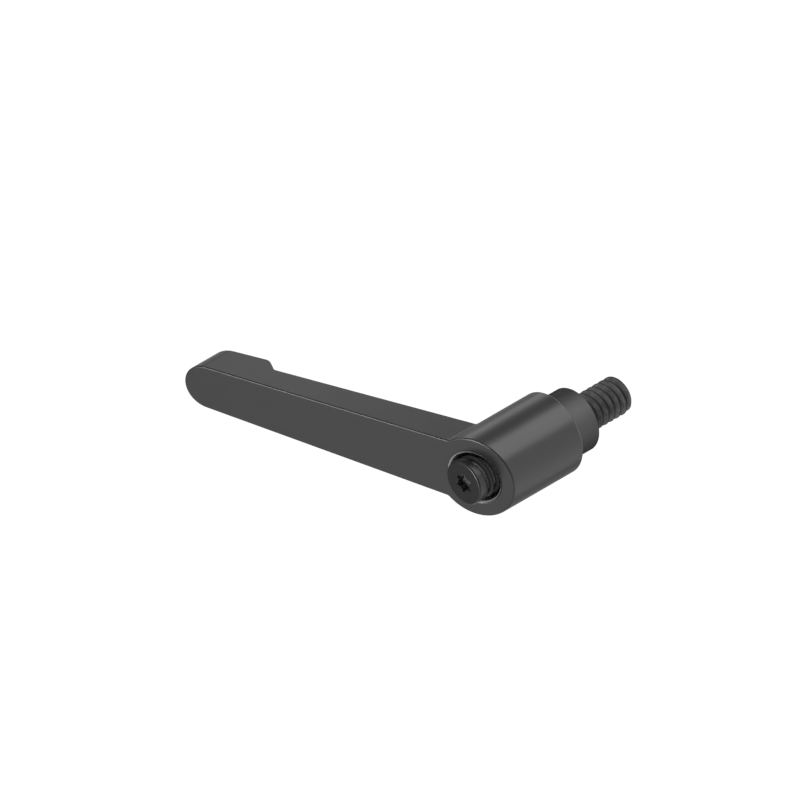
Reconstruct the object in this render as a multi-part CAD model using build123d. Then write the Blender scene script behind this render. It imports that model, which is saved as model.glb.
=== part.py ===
from build123d import *

import math
import os

# Adjustable clamping lever with a threaded stud.
# The handle's internal serration sits in mesh on the insert's, and a spring under the retaining screw's head
# holds it there. Lifting the handle along the axis takes it out of mesh, so that it can be turned freely.
# Frame: +Z is the hub's axis and points from the stud to the screw's head, the arm rises along +X, and the
# origin is the centre of the collar's clamping face. Lengths are in millimetres and angles in degrees.

# ---------------------------------------------------------------- motion and fits
LIFT = 3.0                     # travel of the handle out of mesh
LIFT_SPARE = 0.5               # what of the travel is left once the teeth are clear
RUNNING_CLEARANCE = 0.05       # radial, of the collar and of the screw's shoulder in the handle
TOOTH_CLEARANCE = 0.08         # on every face of a tooth
THREAD_CLEARANCE = 0.03        # radial, of engaged threads, which are drawn at their pitch diameter
NECK_TOP_CLEARANCE = 0.4       # from the insert's top to the handle's web

# ---------------------------------------------------------------- handle, outside
HUB_R = 7.0
HUB_BASE_Z = 5.3               # length of collar that shows below the hub
HUB_AXIS_TOP_Z = 22.4          # where the slanted top face crosses the axis
TOP_ANGLE = 15.0               # rise of the hub's and the arm's top face
ARM_ROOT_HALF_WIDTH = 5.4      # at the axis
ARM_TIP_R = 3.85
ARM_TIP_X = 46.7               # centre of the round end
ARM_ROOT_DEPTH = 6.75          # along Z, at the axis
ARM_UNDERSIDE_ANGLE = 17.7
GRIP_X = 41.0                  # where the finger end reaches its full depth
GRIP_DEPTH = 6.78              # along Z, at GRIP_X
GRIP_UNDERSIDE_ANGLE = 19.0
GRIP_STEP_RUN = 2.4            # length along X of the step down to the finger end
GRIP_STEP_OUTER_R = 1.5
GRIP_STEP_INNER_R = 0.5
ARM_ROOT_FILLET_R = 0.7
EDGE_R = 0.22                  # edges of the casting
MOUTH_CHAMFER = 0.25           # at the lower end of the handle's bore
COUNTERBORE_EDGE_R = 0.45

# ---------------------------------------------------------------- serration, one form on both pieces
TOOTH_COUNT = 24
TOOTH_ROOT_R = 4.15            # on the insert
TOOTH_TIP_R = 4.7              # on the insert
TOOTH_ROOT_WIDTH = 0.72
TOOTH_TIP_WIDTH = 0.3
TOOTH_LEAD = 0.3               # chamfer on the end of the teeth that goes in first

# ---------------------------------------------------------------- insert
COLLAR_R = 5.4
COLLAR_LENGTH = 8.5
COLLAR_EDGE_R = 0.35
NECK_R = 3.8
NECK_LENGTH = 2.6
NECK_CHAMFER = 0.3

# ---------------------------------------------------------------- threaded stud, 1/4-20 UNC
STUD_R = 3.175
STUD_PITCH_R = 2.763
STUD_LENGTH = 9.525
STUD_CHAMFER = 0.4
STUD_ENGAGEMENT = 5.9
STUD_INNER_CHAMFER = 0.4
STUD_HOLE_SPARE = 0.4          # depth of the tapped hole beyond the stud

# ---------------------------------------------------------------- retaining screw, M4 with a shoulder
HEAD_R = 3.75
HEAD_HEIGHT = 1.3
HEAD_EDGE_R = 0.32
SHOULDER_R = 2.75
SCREW_PITCH_R = 1.77
SCREW_THREAD_LENGTH = 5.0
SCREW_END_CHAMFER = 0.4
SCREW_HOLE_SPARE = 0.5         # depth of the tapped hole beyond the screw
LOBE_COUNT = 6
RECESS_TIP_R = 1.68            # from the axis to the end of a lobe
RECESS_WAIST_R = 1.2           # from the axis to the bulge between two lobes
RECESS_LOBE_R = 0.25
RECESS_DEPTH = 1.6
RECESS_EDGE = 0.08             # chamfer round the recess

# ---------------------------------------------------------------- spring and the room it works in
WIRE_R = 0.4
WIRE_SIDES = 6                 # facets round the wire
COIL_R = 3.3                   # to the middle of the wire
SPRING_LENGTH = 7.5            # as fitted, ends ground flat
SPRING_TURNS = 5.5
SPRING_END_ANGLE = 250.0       # where the top coil ends, from +X
COUNTERBORE_R = 4.3
WEB_THICKNESS = 2.0

# ---------------------------------------------------------------- what follows from the above
TEETH_TOP_Z = COLLAR_LENGTH + LIFT - LIFT_SPARE
INSERT_TOP_Z = TEETH_TOP_Z + NECK_LENGTH
WEB_BOTTOM_Z = INSERT_TOP_Z + NECK_TOP_CLEARANCE
WEB_TOP_Z = WEB_BOTTOM_Z + WEB_THICKNESS
HEAD_BASE_Z = WEB_TOP_Z + SPRING_LENGTH
HEAD_TOP_Z = HEAD_BASE_Z + HEAD_HEIGHT
COUNTERSINK_R = STUD_R + THREAD_CLEARANCE
ARM_END_X = ARM_TIP_X + ARM_TIP_R
OVERRUN = ARM_END_X            # how far a cutting body reaches beyond what it cuts
SNAP = 0.001                   # for telling edges apart by where they lie


def rise(run, angle):
    """Height gained over a run at an angle."""
    return run * math.tan(math.radians(angle))


def top_z(x):
    """Height of the slanted top face."""
    return HUB_AXIS_TOP_Z + rise(x, TOP_ANGLE)


def arm_underside_z(x):
    """Height of the slim arm's underside."""
    return HUB_AXIS_TOP_Z - ARM_ROOT_DEPTH + rise(x, ARM_UNDERSIDE_ANGLE)


def grip_underside_z(x):
    """Height of the finger end's underside."""
    return top_z(GRIP_X) - GRIP_DEPTH + rise(x - GRIP_X, GRIP_UNDERSIDE_ANGLE)


def polar(radius, angle, centre=(0, 0)):
    """Point at a radius and an angle about a centre."""
    turn = math.radians(angle)
    return (centre[0] + radius * math.cos(turn), centre[1] + radius * math.sin(turn))


def turned(*points):
    """Solid of revolution about Z from its (radius, height) corners."""
    return revolve(Plane.XZ * make_face(Polyline(*points, close=True)), Axis.Z)


def upright(face, base_z, length):
    """Prism of a face of the XY plane, standing on a height."""
    return Pos(0, 0, base_z) * extrude(face, length)


def bends(body, edge):
    """Whether the two faces beside an edge meet at an angle: false at a seam or a tangent joint."""
    beside = [face for face in body.faces() if any(edge.is_same(other) for other in face.edges())]
    if len(beside) != 2:
        return False
    middle = edge @ 0.5
    return beside[0].normal_at(middle).get_angle(beside[1].normal_at(middle)) > 5


# ---------------------------------------------------------------- handle
def arm_plan():
    """Outline of the arm seen along Z: straight tapering sides that run into the round end."""
    lean = math.degrees(math.asin((ARM_ROOT_HALF_WIDTH - ARM_TIP_R) / ARM_TIP_X))
    right_touch = polar(ARM_TIP_R, lean - 90, (ARM_TIP_X, 0))
    left_touch = polar(ARM_TIP_R, 90 - lean, (ARM_TIP_X, 0))
    right_root = (0, -ARM_ROOT_HALF_WIDTH)
    left_root = (0, ARM_ROOT_HALF_WIDTH)
    return make_face(
        [
            Line(right_root, right_touch),
            ThreePointArc(right_touch, (ARM_END_X, 0), left_touch),
            Line(left_touch, left_root),
            Line(left_root, right_root),
        ]
    )


def arm_side():
    """Outline of the arm seen along Y, in X and Z: the stepped underside, left high for the slanted cut."""
    step_x = GRIP_X - GRIP_STEP_RUN
    far_x = ARM_END_X + OVERRUN
    high_z = top_z(far_x)
    outline = make_face(
        Polyline(
            (0, arm_underside_z(0)),
            (step_x, arm_underside_z(step_x)),
            (GRIP_X, grip_underside_z(GRIP_X)),
            (far_x, grip_underside_z(far_x)),
            (far_x, high_z),
            (0, high_z),
            close=True,
        )
    )
    for x, radius in ((GRIP_X, GRIP_STEP_OUTER_R), (step_x, GRIP_STEP_INNER_R)):
        corner = [vertex for vertex in outline.vertices() if abs(vertex.X - x) < SNAP]
        outline = fillet(corner, radius)
    return outline


def make_arm():
    """Arm from the axis to the round end, with its lower edges rounded."""
    arm = upright(arm_plan(), 0, top_z(ARM_END_X + OVERRUN))
    arm &= extrude(Plane.XZ * arm_side(), HUB_R + OVERRUN, both=True)
    high_z = max(vertex.Z for vertex in arm.vertices())
    lower = [
        edge
        for edge in arm.edges()
        if edge.center().X > SNAP and max(v.Z for v in edge.vertices()) < high_z - SNAP and bends(arm, edge)
    ]
    return fillet(lower, EDGE_R)


def handle_outside():
    """Casting without its bores: hub and arm under one slanted face, every edge softened."""
    arm = make_arm()
    hub_high = top_z(ARM_END_X + OVERRUN) - HUB_BASE_Z
    hub = Rotation(0, 0, 180) * upright(Circle(HUB_R), HUB_BASE_Z, hub_high)
    slanted = Plane((0, 0, HUB_AXIS_TOP_Z), x_dir=(0, 1, 0), z_dir=(-rise(1, TOP_ANGLE), 0, 1))
    above = extrude(slanted * Rectangle(8 * OVERRUN, 8 * OVERRUN), 4 * OVERRUN)
    body = (hub + arm) - above

    root = [
        edge
        for edge in body.edges()
        if edge.center().X > SNAP
        and HUB_BASE_Z + SNAP < edge.center().Z < top_z(HUB_R)
        and all(abs(math.hypot(v.X, v.Y) - HUB_R) < SNAP for v in edge.vertices())
        and bends(body, edge)
        and not all(abs(top_z(v.X) - v.Z) < SNAP for v in edge.vertices())
    ]
    body = fillet(root, ARM_ROOT_FILLET_R)

    def lies_at(edge, height):
        return all(abs(height(vertex.X) - vertex.Z) < SNAP for vertex in edge.vertices())

    top = [edge for edge in body.edges() if lies_at(edge, top_z) and bends(body, edge)]
    base = [edge for edge in body.edges() if lies_at(edge, lambda x: HUB_BASE_Z)]
    return fillet(top + base, EDGE_R)


def tooth_ring(clearance=0.0):
    """Face of a toothed disc. With a clearance, the space that such a disc needs."""
    root_r = TOOTH_ROOT_R + clearance
    tip_r = TOOTH_TIP_R + clearance
    root_half = TOOTH_ROOT_WIDTH / 2 + clearance
    tip_half = TOOTH_TIP_WIDTH / 2 + clearance
    tooth = [(root_r, -root_half), (tip_r, -tip_half), (tip_r, tip_half), (root_r, root_half)]
    corners = []
    for index in range(TOOTH_COUNT):
        for out, aside in tooth:
            angle = math.degrees(math.atan2(aside, out)) + index * 360 / TOOTH_COUNT
            corners.append(polar(math.hypot(out, aside), angle))
    return make_face(Polyline(*corners, close=True))


def handle_bores():
    """What is cut from the casting, from the lower mouth up to the counterbore."""
    lower_r = COLLAR_R + RUNNING_CLEARANCE
    tooth_tip_r = TOOTH_ROOT_R + TOOTH_CLEARANCE
    tooth_root_r = TOOTH_TIP_R + TOOTH_CLEARANCE
    hole_r = SHOULDER_R + RUNNING_CLEARANCE
    high_z = top_z(HUB_R + OVERRUN)
    plain = turned(
        (0, HUB_BASE_Z - MOUTH_CHAMFER),
        (lower_r + 2 * MOUTH_CHAMFER, HUB_BASE_Z - MOUTH_CHAMFER),
        (lower_r, HUB_BASE_Z + MOUTH_CHAMFER),
        (lower_r, COLLAR_LENGTH),
        (tooth_root_r, COLLAR_LENGTH),
        (tooth_tip_r, COLLAR_LENGTH + tooth_root_r - tooth_tip_r),
        (tooth_tip_r, WEB_BOTTOM_Z),
        (hole_r, WEB_BOTTOM_Z),
        (hole_r, WEB_TOP_Z),
        (COUNTERBORE_R, WEB_TOP_Z),
        (COUNTERBORE_R, high_z),
        (0, high_z),
    )
    spaces = upright(tooth_ring(TOOTH_CLEARANCE), COLLAR_LENGTH, TEETH_TOP_Z - COLLAR_LENGTH + TOOTH_CLEARANCE)
    return plain + spaces


def make_handle():
    """Zinc die casting."""
    body = handle_outside() - handle_bores()
    rim = [
        edge
        for edge in body.edges()
        if all(abs(math.hypot(v.X, v.Y) - COUNTERBORE_R) < SNAP for v in edge.vertices())
        and all(abs(top_z(v.X) - v.Z) < SNAP for v in edge.vertices())
    ]
    return fillet(rim, COUNTERBORE_EDGE_R)


# ---------------------------------------------------------------- insert
def make_insert():
    """Turned steel bush: collar, external serration, neck, and a tapped hole from each end.

    The stud's hole is countersunk to the thread's full diameter.
    """
    collar = upright(Circle(COLLAR_R), 0, COLLAR_LENGTH)
    collar = fillet(collar.edges().sort_by(Axis.Z)[0], COLLAR_EDGE_R)
    teeth = upright(tooth_ring(), COLLAR_LENGTH, TEETH_TOP_Z - COLLAR_LENGTH)
    teeth &= turned(
        (0, COLLAR_LENGTH),
        (TOOTH_TIP_R + TOOTH_LEAD, COLLAR_LENGTH),
        (TOOTH_TIP_R + TOOTH_LEAD, TEETH_TOP_Z - 2 * TOOTH_LEAD),
        (TOOTH_TIP_R - TOOTH_LEAD, TEETH_TOP_Z),
        (0, TEETH_TOP_Z),
    )
    neck = upright(Circle(NECK_R), TEETH_TOP_Z, NECK_LENGTH)
    neck = chamfer(neck.edges().sort_by(Axis.Z)[-1], NECK_CHAMFER)
    stud_hole_r = STUD_PITCH_R + THREAD_CLEARANCE
    stud_hole_end_z = STUD_ENGAGEMENT + STUD_HOLE_SPARE
    stud_hole = turned(
        (0, 0),
        (COUNTERSINK_R, 0),
        (stud_hole_r, COUNTERSINK_R - stud_hole_r),
        (stud_hole_r, stud_hole_end_z),
        (0, stud_hole_end_z),
    )
    screw_depth = SCREW_THREAD_LENGTH + SCREW_HOLE_SPARE
    screw_hole = upright(Circle(SCREW_PITCH_R + THREAD_CLEARANCE), INSERT_TOP_Z - screw_depth, screw_depth)
    return collar + teeth + neck - stud_hole - screw_hole


# ---------------------------------------------------------------- threaded stud
def make_stud():
    """Stud seated in the hole's countersink, its engaged length drawn at the thread's pitch diameter."""
    return turned(
        (0, -STUD_LENGTH),
        (STUD_R - STUD_CHAMFER, -STUD_LENGTH),
        (STUD_R, STUD_CHAMFER - STUD_LENGTH),
        (STUD_R, COUNTERSINK_R - STUD_R),
        (STUD_PITCH_R, COUNTERSINK_R - STUD_PITCH_R),
        (STUD_PITCH_R, STUD_ENGAGEMENT - STUD_INNER_CHAMFER),
        (STUD_PITCH_R - STUD_INNER_CHAMFER, STUD_ENGAGEMENT),
        (0, STUD_ENGAGEMENT),
    )


# ---------------------------------------------------------------- retaining screw
def six_lobe_face():
    """Six-lobe recess: lobes and the bulges between them, as arcs that run into each other."""
    half_step = 180 / LOBE_COUNT
    lobe_out = RECESS_TIP_R - RECESS_LOBE_R
    across = lobe_out * math.cos(math.radians(half_step))
    bulge_r = (lobe_out**2 + RECESS_WAIST_R**2 - 2 * RECESS_WAIST_R * across - RECESS_LOBE_R**2) / (
        2 * (RECESS_LOBE_R - RECESS_WAIST_R + across)
    )
    arcs = []
    for index in range(LOBE_COUNT):
        lobe_angle = (2 * index + 1) * half_step
        lobe = polar(lobe_out, lobe_angle)
        touches = []
        for side in (-1, 1):
            bulge = polar(RECESS_WAIST_R + bulge_r, lobe_angle + side * half_step)
            share = RECESS_LOBE_R / (RECESS_LOBE_R + bulge_r)
            touches.append(tuple(a + share * (b - a) for a, b in zip(lobe, bulge)))
        arcs.append(ThreePointArc(touches[0], polar(RECESS_TIP_R, lobe_angle), touches[1]))
        waist = polar(RECESS_WAIST_R, lobe_angle + half_step)
        next_angle = math.degrees(math.atan2(touches[0][1], touches[0][0])) + 2 * half_step
        arcs.append(ThreePointArc(touches[1], waist, polar(math.hypot(*touches[0]), next_angle)))
    return make_face(arcs)


def make_screw():
    """Low-head screw: six-lobe recess, a shoulder that stands on the insert, and a threaded end in it."""
    thread_end_z = INSERT_TOP_Z - SCREW_THREAD_LENGTH
    shank = turned(
        (0, thread_end_z),
        (SCREW_PITCH_R - SCREW_END_CHAMFER, thread_end_z),
        (SCREW_PITCH_R, thread_end_z + SCREW_END_CHAMFER),
        (SCREW_PITCH_R, INSERT_TOP_Z),
        (SHOULDER_R, INSERT_TOP_Z),
        (SHOULDER_R, HEAD_BASE_Z),
        (0, HEAD_BASE_Z),
    )
    head = upright(Circle(HEAD_R), HEAD_BASE_Z, HEAD_HEIGHT)
    head = fillet(head.edges().sort_by(Axis.Z)[-1], HEAD_EDGE_R)
    screw = shank + head - upright(six_lobe_face(), HEAD_TOP_Z - RECESS_DEPTH, RECESS_DEPTH)
    mouth = [
        edge
        for edge in screw.edges()
        if abs(edge.center().Z - HEAD_TOP_Z) < SNAP and (edge @ 0.5 - Vector(0, 0, HEAD_TOP_Z)).length < SHOULDER_R
    ]
    return chamfer(mouth, RECESS_EDGE)


# ---------------------------------------------------------------- spring
def make_spring():
    """Compression spring between the handle's web and the screw's head, ground flat at both ends."""
    pitch = SPRING_LENGTH / SPRING_TURNS
    line = Helix(pitch, SPRING_LENGTH, COIL_R)
    section = Plane(origin=line @ 0, z_dir=line % 0) * RegularPolygon(WIRE_R, WIRE_SIDES)
    wire = sweep(section, path=line, is_frenet=True)
    room = upright(Circle(COIL_R + 2 * WIRE_R), 0, SPRING_LENGTH)
    start_angle = SPRING_END_ANGLE - 360 * SPRING_TURNS
    return Pos(0, 0, WEB_TOP_Z) * Rotation(0, 0, start_angle) * (wire & room)


os.makedirs("parts", exist_ok=True)
pieces = {
    "handle": make_handle(),
    "insert": make_insert(),
    "threaded_stud": make_stud(),
    "retaining_screw": make_screw(),
    "spring": make_spring(),
}
for name, shape in pieces.items():
    export_step(shape, f"parts/{name}.step")
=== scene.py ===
import math

import bmesh
import bpy
from mathutils import Matrix, Vector


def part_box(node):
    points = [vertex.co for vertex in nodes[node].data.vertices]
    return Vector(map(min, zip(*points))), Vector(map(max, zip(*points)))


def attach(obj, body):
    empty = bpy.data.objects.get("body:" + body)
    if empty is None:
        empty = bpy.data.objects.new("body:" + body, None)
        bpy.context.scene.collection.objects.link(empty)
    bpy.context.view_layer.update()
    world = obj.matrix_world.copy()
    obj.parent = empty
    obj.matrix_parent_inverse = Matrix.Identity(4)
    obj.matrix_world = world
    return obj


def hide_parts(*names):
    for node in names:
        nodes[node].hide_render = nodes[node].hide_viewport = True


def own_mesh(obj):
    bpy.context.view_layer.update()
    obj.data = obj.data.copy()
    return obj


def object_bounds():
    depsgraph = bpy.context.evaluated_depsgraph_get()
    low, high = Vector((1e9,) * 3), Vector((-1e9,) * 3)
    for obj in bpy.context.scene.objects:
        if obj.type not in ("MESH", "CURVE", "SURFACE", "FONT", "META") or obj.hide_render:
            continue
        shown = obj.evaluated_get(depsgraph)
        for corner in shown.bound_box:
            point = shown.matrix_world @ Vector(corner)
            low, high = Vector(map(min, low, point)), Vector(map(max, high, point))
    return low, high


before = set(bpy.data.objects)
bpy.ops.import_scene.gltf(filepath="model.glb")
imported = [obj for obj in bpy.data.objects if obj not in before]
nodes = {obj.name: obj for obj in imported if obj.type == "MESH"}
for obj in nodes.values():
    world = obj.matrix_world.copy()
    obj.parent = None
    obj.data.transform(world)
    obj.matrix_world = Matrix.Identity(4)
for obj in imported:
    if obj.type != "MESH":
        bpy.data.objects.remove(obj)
cad_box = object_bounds()

# Lengths are in metres. +Z is the hub's axis, and the arm rises along +X.
MM = 0.001

# ---------------------------------------------------------------- sizes shared with the solids
STUD_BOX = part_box("threaded_stud")
SPRING_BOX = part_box("spring")
HANDLE_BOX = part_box("handle")

# handle and screw
ARM_TIP_R = 3.85 * MM
COUNTERBORE_R = 4.3 * MM
HEAD_BASE_Z = SPRING_BOX[1].z  # underside of the screw's head

# 1/4-20 UNC thread
THREAD_R = STUD_BOX[1].x
PITCH = 25.4 * MM / 20
THREAD_DEPTH = 0.6134 * PITCH
CREST_SHARE = 0.125            # of the pitch
FLANK_SHARE = 0.3542           # of the pitch, for each flank of a 60 degree thread
ROOT_ROUNDING = 0.02 * MM      # half of what fills the corner at a flank's foot
ROUNDED_PART = 6               # the rounding takes the lowest sixth of a flank
THREAD_START = 0.12            # share of the pitch from the collar's face down to a crest, towards -Y
STUD_PITCH_R = 2.763 * MM      # where the engaged thread stays inside the tapped hole
STUD_CHAMFER = 0.4 * MM
STUD_INNER_CHAMFER = 0.4 * MM
CUT_TOLERANCE = 1e-8
ON_CUT = 1e-7                  # how far a cut's rim may lie from its plane

# spring
WIRE_R = 0.40 * MM
COIL_R = 3.3 * MM              # to the middle of the wire
SPRING_TURNS = 5.5
SPRING_END_ANGLE = 250.0       # degrees, where the top coil ends

# ---------------------------------------------------------------- studio sizes
HUB_MIDDLE = Vector((0, 0, 14)) * MM
ARM_END_MIDDLE = Vector((HANDLE_BOX[1].x - ARM_TIP_R, 0, 31 * MM))

VIEW_WIDTH = 125 * MM
VIEW_AIM = Vector((13.13, -9.84, 25.71)) * MM    # the middle of the picture
CAMERA_DISTANCE = 0.6
CLIP_START, CLIP_END = 0.01, 20

FLOOR_DROP = 0.50              # of the floor below the stud
FLOOR_HALF = 6.0
FLOOR_COLOUR = 0.8             # for the light that the floor sends to the part
SEEN_FLOOR_COLOUR = 0.35       # how strongly the shadow shows on it
SEEN_FLOOR_GLOW = 0.80

WORLD_LIGHT = 0.62             # what the surroundings give to matt surfaces
BOARD_STEPS = 24               # along each side of a board


# ---------------------------------------------------------------- objects
def new_object(name, data):
    """Puts a mesh, a lamp or a camera into the scene as an object."""
    made = bpy.data.objects.new(name, data)
    bpy.context.scene.collection.objects.link(made)
    return made


def new_mesh(name, vertices, faces):
    """Mesh of vertices and faces."""
    mesh = bpy.data.meshes.new(name)
    mesh.from_pydata(vertices, [], faces)
    return mesh


def editable(mesh):
    """Copy of a mesh that bmesh can edit."""
    body = bmesh.new()
    body.from_mesh(mesh)
    return body


def smooth_object(name, mesh, body, crease_angle):
    """Object of an edited mesh, smooth but for edges sharper than an angle in degrees."""
    bmesh.ops.recalc_face_normals(body, faces=body.faces)
    body.to_mesh(mesh)
    body.free()
    mesh.shade_smooth()
    mesh.set_sharp_from_angle(angle=math.radians(crease_angle))
    return new_object(name, mesh)


# ---------------------------------------------------------------- node trees
def grey(level):
    """Colour with three equal parts."""
    return (level, level, level)


class NodeTree:
    """Small helper around the node tree of a material or the world."""

    def __init__(self, owner):
        owner.use_nodes = True
        self.tree = owner.node_tree
        self.tree.nodes.clear()

    def feed(self, socket, value):
        """Links an output to a socket, or sets the socket's own value. A colour comes as three numbers."""
        if isinstance(value, bpy.types.NodeSocket):
            self.tree.links.new(value, socket)
        elif socket.type == "RGBA":
            socket.default_value = (*value, 1)
        else:
            socket.default_value = value

    def add(self, kind, settings=(), numbered=(), **named):
        """Adds a node, sets its properties, and feeds its inputs by number and by name."""
        node = self.tree.nodes.new(kind)
        for key, value in dict(settings).items():
            setattr(node, key, value)
        for number, value in dict(numbered).items():
            self.feed(node.inputs[number], value)
        for key, value in named.items():
            self.feed(node.inputs[key.replace("_", " ")], value)
        return node

    def combine(self, operation, first, second):
        """Result of a mathematical operation on two values."""
        node = self.add("ShaderNodeMath", {"operation": operation}, {0: first, 1: second})
        return node.outputs[0]

    def seen_white(self, shader, white):
        """Mixes a shader with plain white for what the camera, gloss and glass see."""
        rays = self.add("ShaderNodeLightPath").outputs
        seen = rays["Is Camera Ray"]
        for other in ("Is Glossy Ray", "Is Transmission Ray"):
            seen = self.combine("MAXIMUM", seen, rays[other])
        return self.add("ShaderNodeMixShader", numbered={0: seen, 1: shader, 2: white}).outputs[0]


class Finish(NodeTree):
    """Procedural material in object coordinates."""

    def __init__(self, name):
        self.material = bpy.data.materials.new(name)
        super().__init__(self.material)
        self.place = self.add("ShaderNodeTexCoord").outputs["Object"]

    def noise(self, scale, detail, rough=0.5, place=None):
        """Noise of a scale, in features per metre."""
        node = self.add(
            "ShaderNodeTexNoise", Vector=place or self.place, Scale=scale, Detail=detail, Roughness=rough
        )
        return node.outputs["Fac"]

    def steel_grain(self):
        """Very fine grain of bare and blackened steel."""
        return self.noise(4200, 2)

    def turning_lines(self):
        """Faint lines round the axis."""
        stretched = self.add("ShaderNodeMapping", Vector=self.place, Scale=(150, 150, 9000))
        return self.noise(1.0, 2, place=stretched.outputs["Vector"])

    def spread(self, value, low, high, start=0.3, end=0.7):
        """Maps a value's span from start to end onto low to high."""
        node = self.add(
            "ShaderNodeMapRange", Value=value, From_Min=start, From_Max=end, To_Min=low, To_Max=high
        )
        return node.outputs["Result"]

    def mix(self, factor, first, second):
        """Mixes two colours. 6 and 7 are the colour inputs of the node, and 2 is its colour output."""
        node = self.add("ShaderNodeMix", {"data_type": "RGBA"}, {0: factor, 6: first, 7: second})
        return node.outputs[2]

    def cloudy(self, dark, light, scale=260):
        """Two near colours in soft clouds of a scale, in features per metre."""
        return self.mix(self.spread(self.noise(scale, 3), 0, 1), dark, light)

    def bump(self, height, depth, strength, under=None):
        """Bump of a depth in metres, on top of another one where there is one."""
        node = self.add("ShaderNodeBump", Height=height, Distance=depth, Strength=strength)
        if under:
            self.feed(node.inputs["Normal"], under)
        return node.outputs["Normal"]

    def within(self, radius, blur):
        """1 nearer to the hub's axis than a radius, and 0 beyond it."""
        flat = self.add("ShaderNodeVectorMath", {"operation": "MULTIPLY"}, {0: self.place, 1: (1, 1, 0)})
        length = self.add("ShaderNodeVectorMath", {"operation": "LENGTH"}, {0: flat.outputs[0]})
        return self.spread(length.outputs["Value"], 1, 0, radius - blur, radius)

    def ring(self, inner, outer, blur=0.04 * MM):
        """1 between two radii round the hub's axis, and 0 elsewhere."""
        return self.combine("SUBTRACT", self.within(outer, blur), self.within(inner, blur))

    def below(self, height, blur):
        """1 below a height, and 0 above it."""
        split = self.add("ShaderNodeSeparateXYZ", Vector=self.place)
        return self.spread(split.outputs["Z"], 1, 0, height - blur, height)

    def surface(self, **inputs):
        """Principled surface as the material's output."""
        shader = self.add("ShaderNodeBsdfPrincipled", **inputs)
        self.add("ShaderNodeOutputMaterial", Surface=shader.outputs[0])
        return self.material


# ---------------------------------------------------------------- materials
def satin_coat():
    """Satin black coat of the casting, painted pale inside the counterbore as painted fill light, with a
    pale ring round its rim as a painted highlight.
    """
    coat = Finish("satin_black_coat")
    grain = coat.noise(5200, 3, 0.6)
    # Painted fill light: everything inside the counterbore is painted pale grey, to lighten the shade in the
    # pocket.
    pocket_fill_light = coat.within(COUNTERBORE_R + 0.06 * MM, 0.03 * MM)
    # Painted highlight: a pale grey ring just outside the counterbore's rim.
    rim = coat.ring(COUNTERBORE_R + 0.08 * MM, COUNTERBORE_R + 0.30 * MM)
    colour = coat.cloudy((0.0160, 0.0160, 0.0165), (0.0190, 0.0190, 0.0195), scale=180)
    colour = coat.mix(pocket_fill_light, colour, grey(0.20))
    colour = coat.mix(rim, colour, grey(0.50))
    return coat.surface(
        Base_Color=colour,
        Roughness=coat.spread(grain, 0.275, 0.305),
        Normal=coat.bump(grain, 0.001 * MM, 0.08),
    )


def collar_finish():
    """Blackened steel with faint turning lines round the axis."""
    steel = Finish("collar_steel")
    grain = steel.steel_grain()
    lines = steel.bump(steel.turning_lines(), 0.004 * MM, 0.4)
    around = steel.add("ShaderNodeTangent", {"direction_type": "RADIAL", "axis": "Z"})
    return steel.surface(
        Base_Color=steel.cloudy((0.074, 0.074, 0.075), (0.080, 0.080, 0.081)),
        Metallic=1.0,
        Roughness=steel.spread(grain, 0.48, 0.56),
        Normal=steel.bump(grain, 0.002 * MM, 0.4, lines),
        Specular_Tint=grey(0.08),
        Anisotropic=0.5,
        Tangent=around.outputs[0],
    )


def screw_finish():
    """Black head; the shank below it is painted pale as painted fill light in the dark pocket."""
    steel = Finish("screw_steel")
    grain = steel.steel_grain()
    lines = steel.bump(steel.turning_lines(), 0.004 * MM, 0.2)
    # Painted fill light: below the head's underside the screw is painted pale grey, to lighten the shaded
    # pocket.
    shank_fill_light = steel.below(HEAD_BASE_Z, 0.02 * MM)
    colour = steel.cloudy((0.011, 0.011, 0.0115), (0.014, 0.014, 0.0145))
    return steel.surface(
        Base_Color=steel.mix(shank_fill_light, colour, grey(0.30)),
        Roughness=steel.spread(grain, 0.30, 0.35),
        Normal=steel.bump(grain, 0.002 * MM, 0.3, lines),
    )


def thread_finish():
    """Rolled thread: flanks painted pale in random patches as painted light, crests and roots left dark as
    painted shade lines.
    """
    steel = Finish("thread_steel")
    grain = steel.steel_grain()
    # Painted light and shade: the flanks are painted pale in random patches, and the dark crests and roots
    # stand for shade lines between the turns.
    flanks = steel.ring(THREAD_R - 0.70 * MM, THREAD_R - 0.04 * MM)
    flank_light = steel.combine("MULTIPLY", flanks, steel.spread(steel.noise(900, 3), 0.50, 1.0))
    colour = steel.cloudy((0.015, 0.015, 0.016), (0.020, 0.020, 0.021))
    return steel.surface(
        Base_Color=steel.mix(flank_light, colour, grey(0.155)),
        Roughness=steel.spread(grain, 0.50, 0.58),
        Normal=steel.bump(grain, 0.002 * MM, 0.4),
        Specular_IOR_Level=0.15,
    )


def wire_finish():
    """Dull, dark spring steel."""
    steel = Finish("spring_wire")
    grain = steel.steel_grain()
    return steel.surface(
        Base_Color=steel.cloudy((0.034, 0.034, 0.035), (0.042, 0.042, 0.043)),
        Roughness=steel.spread(grain, 0.50, 0.58),
        Normal=steel.bump(grain, 0.002 * MM, 0.4),
        Specular_Tint=grey(0.5),
        Specular_IOR_Level=0.2,
    )


def dress(thing, material):
    """Gives an object one material in every slot."""
    if not thing.material_slots:
        thing.data.materials.append(material)
    for slot in thing.material_slots:
        slot.material = material


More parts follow.
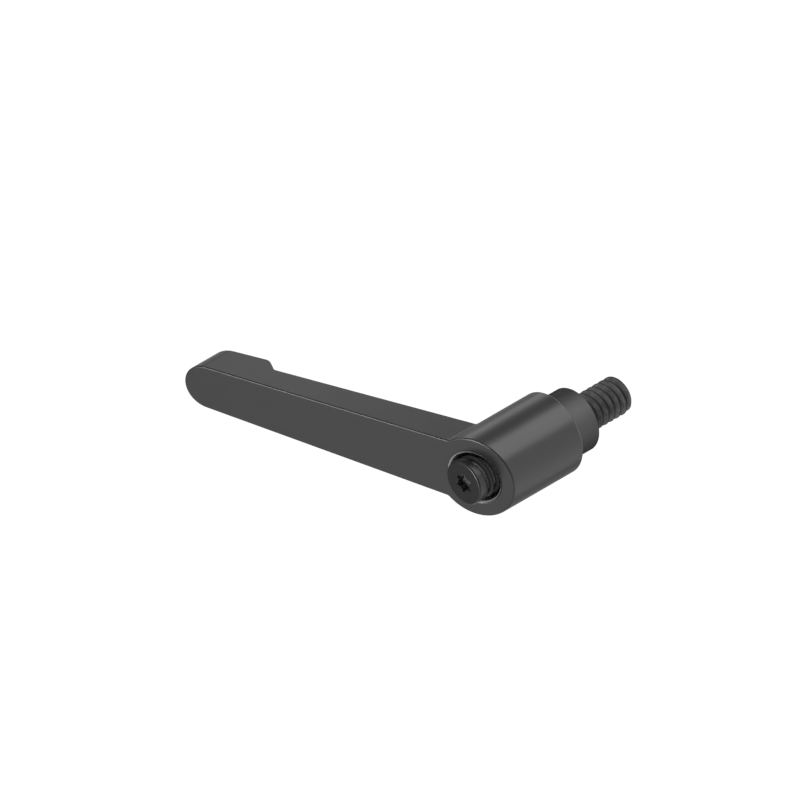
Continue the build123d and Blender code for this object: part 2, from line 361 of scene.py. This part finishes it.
# ---------------------------------------------------------------- threaded stud
def thread_radius(share):
    """Radius of the thread at a share of the pitch from a crest's middle."""
    away = min(share % 1.0, 1.0 - share % 1.0)
    root_r = THREAD_R - THREAD_DEPTH
    if away < CREST_SHARE / 2:
        return THREAD_R
    down = (away - CREST_SHARE / 2) / FLANK_SHARE
    if down < 1:
        from_root = min(1, (1 - down) * ROUNDED_PART)
        rounded_r = root_r + ROOT_ROUNDING * (1 + math.cos(math.pi * from_root))
        return max(THREAD_R - THREAD_DEPTH * down, rounded_r)
    return root_r


def thread_limit(z):
    """Largest radius that the chamfers and the hole leave to the thread at a height."""
    low, high = STUD_BOX[0].z, STUD_BOX[1].z
    limit = min(THREAD_R, THREAD_R - STUD_CHAMFER + (z - low))
    if z > 0:
        limit = min(limit, max(THREAD_R - z, STUD_PITCH_R))
    return min(limit, STUD_PITCH_R - STUD_INNER_CHAMFER + (high - z))


def cut_square(body, height, outward):
    """Cuts off what lies beyond a height, up for an outward of 1 and down for -1, and closes the end."""
    geometry = body.verts[:] + body.edges[:] + body.faces[:]
    bmesh.ops.bisect_plane(
        body, geom=geometry, plane_co=(0, 0, height), plane_no=(0, 0, outward), clear_outer=True,
        dist=CUT_TOLERANCE,
    )
    rim = [
        edge for edge in body.edges
        if edge.is_boundary and all(abs(end.co.z - height) < ON_CUT for end in edge.verts)
    ]
    bmesh.ops.contextual_create(body, geom=rim)


def make_thread():
    """Right-hand thread along the whole stud, cut square and closed at both ends."""
    around, rows = 120, 24     # steps in a turn, and along a pitch
    low, high = STUD_BOX[0].z, STUD_BOX[1].z
    turns = math.ceil((high - low) / PITCH) + 2
    turns_below = math.ceil(-low / PITCH) + 1
    start = -THREAD_START * PITCH - turns_below * PITCH
    count = turns * rows
    vertices = []
    for i in range(around):
        angle = 2 * math.pi * i / around - math.pi / 2
        for j in range(count):
            z = start + PITCH * (i / around + j / rows)
            r = min(thread_radius(j / rows), thread_limit(min(max(z, low), high)))
            vertices.append((r * math.cos(angle), r * math.sin(angle), z))
    faces = []
    for i in range(around):
        # The last column joins the first one, a whole pitch higher.
        step, shift = (i + 1, 0) if i + 1 < around else (0, rows)
        for j in range(count - 1 - shift):
            here, beside = i * count + j, step * count + j + shift
            faces.append((here, beside, beside + 1, here + 1))
    mesh = new_mesh("thread_blank", vertices, faces)
    body = editable(mesh)
    for height, outward in ((low, -1), (high, 1)):
        cut_square(body, height, outward)
    loose = [vertex for vertex in body.verts if not vertex.link_faces]
    bmesh.ops.delete(body, geom=loose, context="VERTS")
    return smooth_object("stud_thread", mesh, body, crease_angle=28)


# ---------------------------------------------------------------- spring
def make_coil():
    """Round wire wound right-handed, ground flat at both ends."""
    low, high = SPRING_BOX[0].z, SPRING_BOX[1].z
    steps_per_turn, sides = 72, 20
    steps = int(SPRING_TURNS * steps_per_turn)
    wound = 2 * math.pi * SPRING_TURNS
    lean = math.atan2((high - low) / wound, COIL_R)
    first = math.radians(SPRING_END_ANGLE) - wound
    vertices = []
    for i in range(steps + 1):
        angle = first + wound * i / steps
        out = Vector((math.cos(angle), math.sin(angle), 0))
        level = Vector((-math.sin(angle), math.cos(angle), 0))
        along = level * math.cos(lean) + Vector((0, 0, math.sin(lean)))
        up = out.cross(along)
        middle = out * COIL_R + Vector((0, 0, low + (high - low) * i / steps))
        for j in range(sides):
            turn = 2 * math.pi * j / sides
            point = middle + (out * math.cos(turn) + up * math.sin(turn)) * WIRE_R
            point.z = min(max(point.z, low), high)
            vertices.append(point)
    faces = []
    for i in range(steps):
        for j in range(sides):
            here, beside = i * sides + j, i * sides + (j + 1) % sides
            faces.append((here, beside, beside + sides, here + sides))
    faces.append(tuple(range(sides)))
    faces.append(tuple(steps * sides + j for j in reversed(range(sides))))
    mesh = new_mesh("coil_spring", vertices, faces)
    return smooth_object("coil_spring", mesh, editable(mesh), crease_angle=40)


# ---------------------------------------------------------------- studio
def heading(azimuth, elevation):
    """Unit direction of an azimuth from +X and an elevation above the horizon, in degrees."""
    turn, rise = math.radians(azimuth), math.radians(elevation)
    return Vector((math.cos(turn) * math.cos(rise), math.sin(turn) * math.cos(rise), math.sin(rise)))


def panel(name, azimuth, elevation, width, height, radiance, distance=0.50, matt=True, gloss=True):
    """Lamp in a direction from the hub, as wide and high as its angles say. A radiance of 1 is white."""
    data = bpy.data.lights.new(name, "AREA")
    data.shape = "RECTANGLE"
    data.size = 2 * distance * math.tan(math.radians(width / 2))
    data.size_y = 2 * distance * math.tan(math.radians(height / 2))
    data.energy = radiance * data.size * data.size_y * math.pi
    lamp = new_object(name, data)
    away = heading(azimuth, elevation)
    lamp.location = HUB_MIDDLE + away * distance
    lamp.rotation_mode = "QUATERNION"
    lamp.rotation_quaternion = away.to_track_quat("Z", "Y")
    lamp.visible_camera = False
    lamp.visible_diffuse = matt
    lamp.visible_glossy = gloss


def gloss_board(name, azimuths, elevations, radiance, radius, centre=HUB_MIDDLE, shadow=False):
    """Curved board, dark or bright, that only gloss sees. It covers a span of directions from a centre."""
    vertices = []
    for i in range(BOARD_STEPS + 1):
        azimuth = azimuths[0] + (azimuths[1] - azimuths[0]) * i / BOARD_STEPS
        for j in range(BOARD_STEPS + 1):
            elevation = elevations[0] + (elevations[1] - elevations[0]) * j / BOARD_STEPS
            vertices.append(centre + heading(azimuth, elevation) * radius)
    row = BOARD_STEPS + 1
    faces = [
        (i * row + j, i * row + j + 1, (i + 1) * row + j + 1, (i + 1) * row + j)
        for i in range(BOARD_STEPS) for j in range(BOARD_STEPS)
    ]
    flag = new_object(name, new_mesh(name, vertices, faces))
    material = bpy.data.materials.new(name)
    tree = NodeTree(material)
    glow = tree.add("ShaderNodeEmission", Strength=radiance)
    tree.add("ShaderNodeOutputMaterial", Surface=glow.outputs[0])
    dress(flag, material)
    for ray in ("camera", "diffuse", "transmission", "volume_scatter"):
        setattr(flag, "visible_" + ray, False)
    flag.visible_shadow = shadow


def make_floor():
    """Pale floor, well below the part, that shows white and keeps a share of the shadow."""
    z = cad_box[0].z - FLOOR_DROP
    far = FLOOR_HALF
    corners = [(-far, -far, z), (far, -far, z), (far, far, z), (-far, far, z)]
    floor = new_object("floor", new_mesh("floor", corners, [(0, 1, 2, 3)]))
    material = bpy.data.materials.new("pale_floor")
    tree = NodeTree(material)
    plain = tree.add("ShaderNodeBsdfDiffuse", Color=grey(FLOOR_COLOUR))
    faint = tree.add("ShaderNodeBsdfDiffuse", Color=grey(SEEN_FLOOR_COLOUR))
    glow = tree.add("ShaderNodeEmission", Strength=SEEN_FLOOR_GLOW)
    seen = tree.add("ShaderNodeAddShader", numbered={0: faint.outputs[0], 1: glow.outputs[0]})
    tree.add("ShaderNodeOutputMaterial", Surface=tree.seen_white(plain.outputs[0], seen.outputs[0]))
    dress(floor, material)


def make_world():
    """Even surroundings, white where the camera, gloss or glass looks at them."""
    world = bpy.data.worlds.new("surroundings")
    bpy.context.scene.world = world
    tree = NodeTree(world)
    plain = tree.add("ShaderNodeBackground", Strength=WORLD_LIGHT, Color=grey(1))
    seen = tree.add("ShaderNodeBackground", Strength=1.0, Color=grey(1))
    tree.add("ShaderNodeOutputWorld", Surface=tree.seen_white(plain.outputs[0], seen.outputs[0]))


def make_camera():
    """True isometric view from above, rolled so that the hub's top points down to the left."""
    data = bpy.data.cameras.new("camera")
    data.type = "ORTHO"
    data.ortho_scale = VIEW_WIDTH
    data.clip_start, data.clip_end = CLIP_START, CLIP_END
    right = Vector((-1, 0, -1)).normalized()
    up = Vector((1, -2, -1)).normalized()
    back = right.cross(up)
    turn = Matrix((right, up, back)).transposed().to_4x4()
    camera = new_object("camera", data)
    camera.matrix_world = Matrix.Translation(VIEW_AIM + back * CAMERA_DISTANCE) @ turn
    bpy.context.scene.camera = camera


# ---------------------------------------------------------------- making
bpy.context.scene.view_settings.view_transform = "Standard"
make_camera()
make_world()
make_floor()

gloss_board("far_board", azimuths=(-72, 112), elevations=(-58, 42), radiance=0.36, radius=0.45)
gloss_board("near_board", azimuths=(170, 300), elevations=(-12, 31), radiance=0.15, radius=0.30)
gloss_board("upper_board", azimuths=(180, 330), elevations=(31, 60), radiance=0.02, radius=0.46)
gloss_board("head_board", azimuths=(8, 58), elevations=(24, 48), radiance=0.03, radius=0.44)
gloss_board("zenith_card", azimuths=(-105, 75), elevations=(71, 90), radiance=13.0, radius=1.2)
gloss_board("zenith_board", azimuths=(78, 252), elevations=(56, 90), radiance=0.05, radius=1.1)
gloss_board("left_card", azimuths=(76, 98), elevations=(-4, 14), radiance=3.0, radius=0.28)
# This one casts a shadow too, which keeps right_low's reflection off the arm's round end.
gloss_board(
    "tip_flag", azimuths=(323, 375), elevations=(-62, -8), radiance=0.55, radius=0.045,
    centre=ARM_END_MIDDLE, shadow=True,
)
gloss_board("tip_board", azimuths=(80, 140), elevations=(44, 66), radiance=0.30, radius=0.44)

panel("top", azimuth=70, elevation=54, width=50, height=34, radiance=0.25, distance=0.24)
panel("under", azimuth=225, elevation=-86, width=50, height=50, radiance=0.6)
panel("front_low", azimuth=251.5, elevation=-35, width=43, height=44, radiance=2.05)
panel("right_low", azimuth=335, elevation=-35, width=21, height=44, radiance=1.15, distance=0.20, matt=False)
panel("left_low", azimuth=172, elevation=-35, width=66, height=44, radiance=0.30)
panel("left_high", azimuth=150, elevation=58, width=40, height=40, radiance=1.5, gloss=False)
panel("right_side", azimuth=305, elevation=12, width=36, height=36, radiance=3.2, gloss=False)

thread = make_thread()
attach(thread, "insert")
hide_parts("threaded_stud")

coil = make_coil()
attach(coil, "spring")
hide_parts("spring")
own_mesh(coil)

dress(nodes["handle"], satin_coat())
dress(nodes["insert"], collar_finish())
dress(nodes["retaining_screw"], screw_finish())
dress(thread, thread_finish())
dress(coil, wire_finish())
